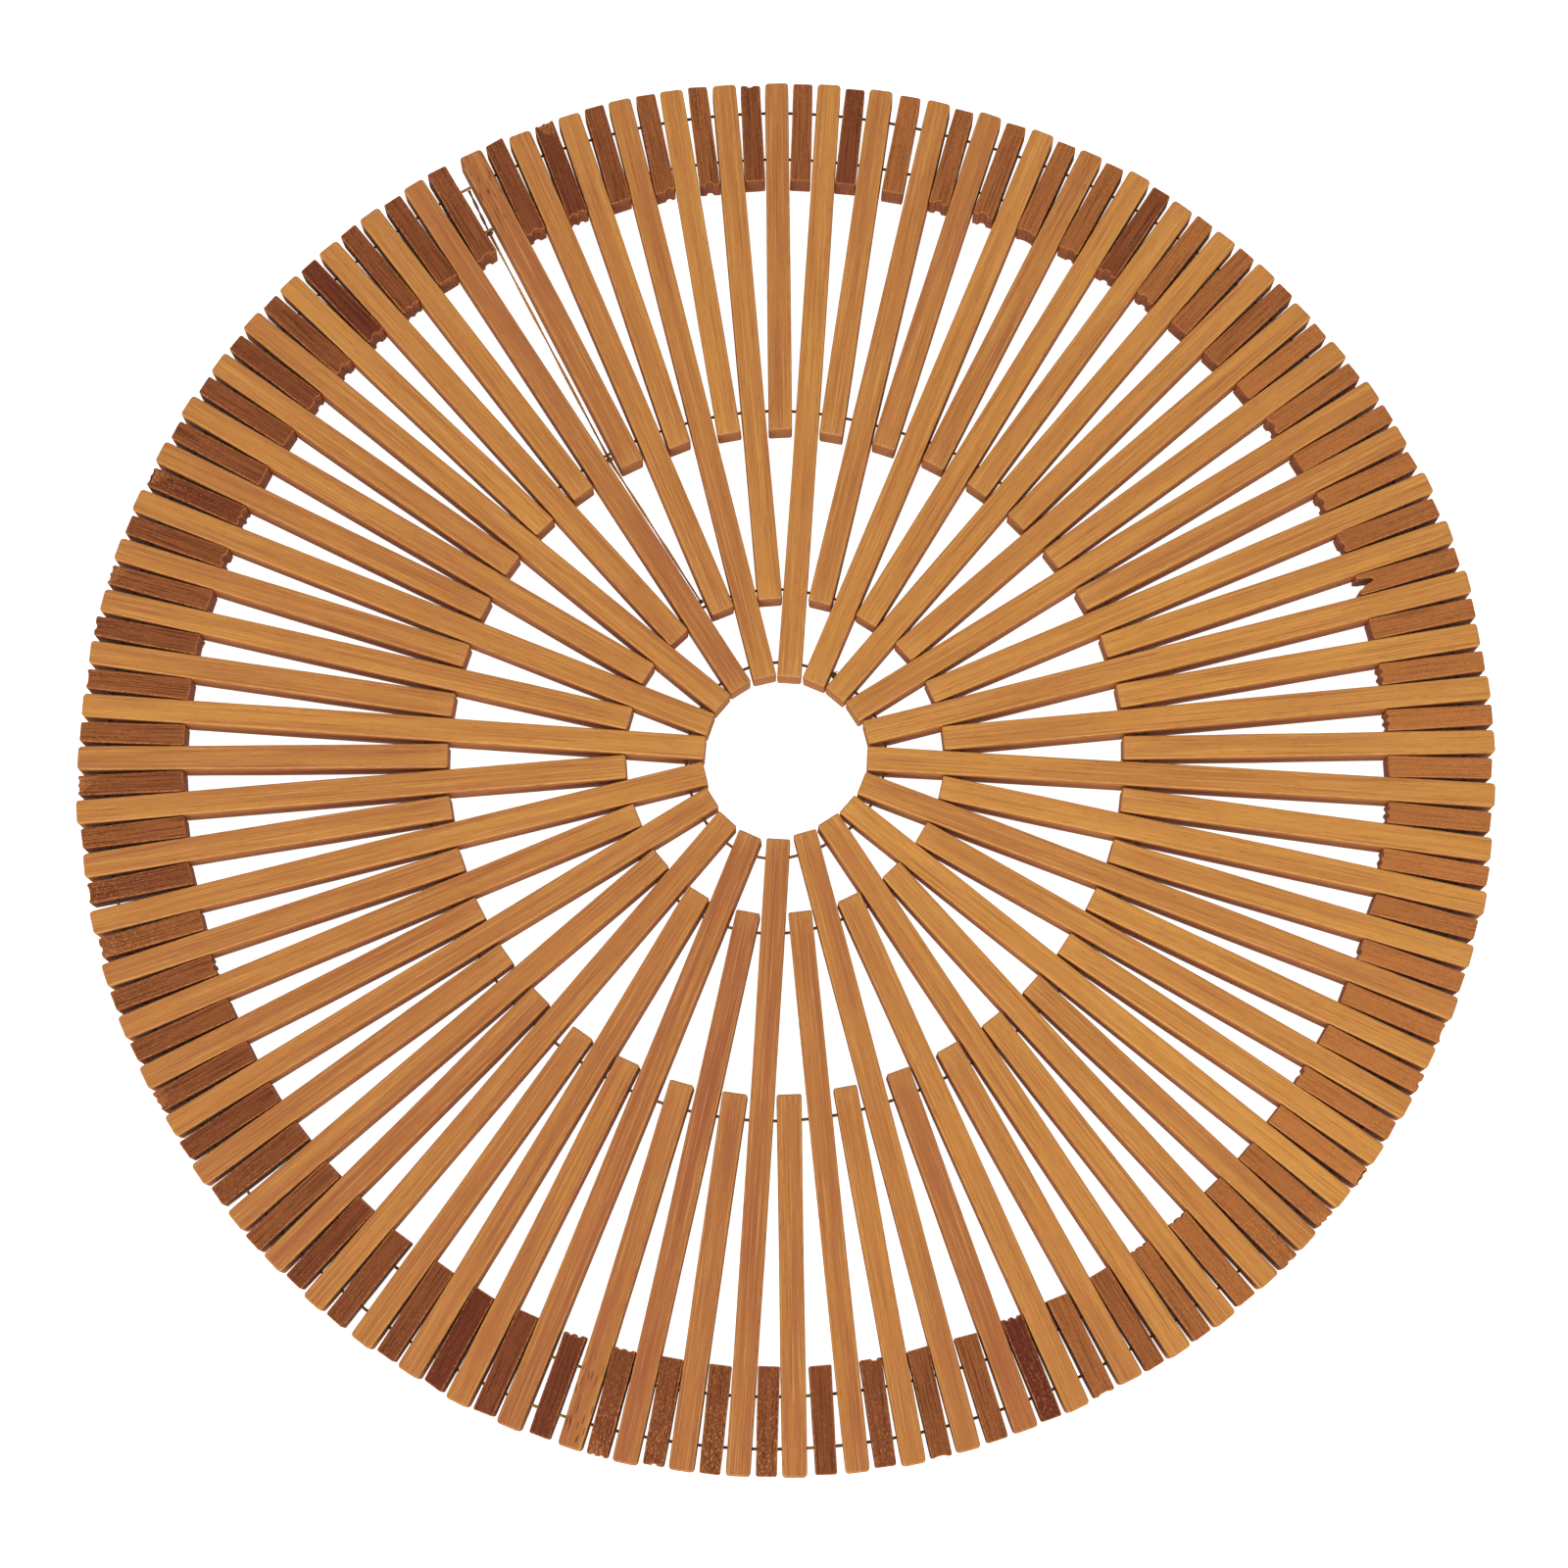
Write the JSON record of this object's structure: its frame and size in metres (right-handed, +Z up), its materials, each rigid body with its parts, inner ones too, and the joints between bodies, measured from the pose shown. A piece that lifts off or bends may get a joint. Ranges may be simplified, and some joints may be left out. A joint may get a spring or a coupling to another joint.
{
  "type": "round bamboo placemat",
  "caption": "Round flat placemat of long and short bamboo sticks laid like spokes round an open hub and strung on rings of thread, for standing plates or hot pots on.",
  "frame": {"origin": "centre of the round mat, on the surface that it lies on", "axes": "+Z up, through the mat's thickness; the sticks radiate in the XY plane; +Y is the far side in the usual view from above"},
  "size_m": [0.379, 0.3788, 0.0095],
  "materials": {
    "long_bamboo": "caramelised bamboo, planed, satin lacquer",
    "short_bamboo": "darker smoked bamboo, sawn and lightly oiled, worn pale at its edges",
    "thread": "twisted waxed thread"
  },
  "bodies": {
    "root": {"fan_01": "long_bamboo", "fan_02": "long_bamboo", "fan_03": "long_bamboo", "fan_04": "long_bamboo", "fan_05": "long_bamboo", "fan_06": "long_bamboo", "fan_07": "long_bamboo", "fan_08": "long_bamboo", "fan_09": "long_bamboo", "fan_10": "long_bamboo", "fan_11": "long_bamboo", "fan_12": "long_bamboo", "fan_13": "long_bamboo", "fan_14": "long_bamboo", "fan_15": "long_bamboo", "fan_16": "long_bamboo", "fan_17": "long_bamboo", "fan_18": "long_bamboo", "fan_19": "long_bamboo", "fan_20": "long_bamboo", "tie_thread": "thread"}
  },
  "joints": []
}
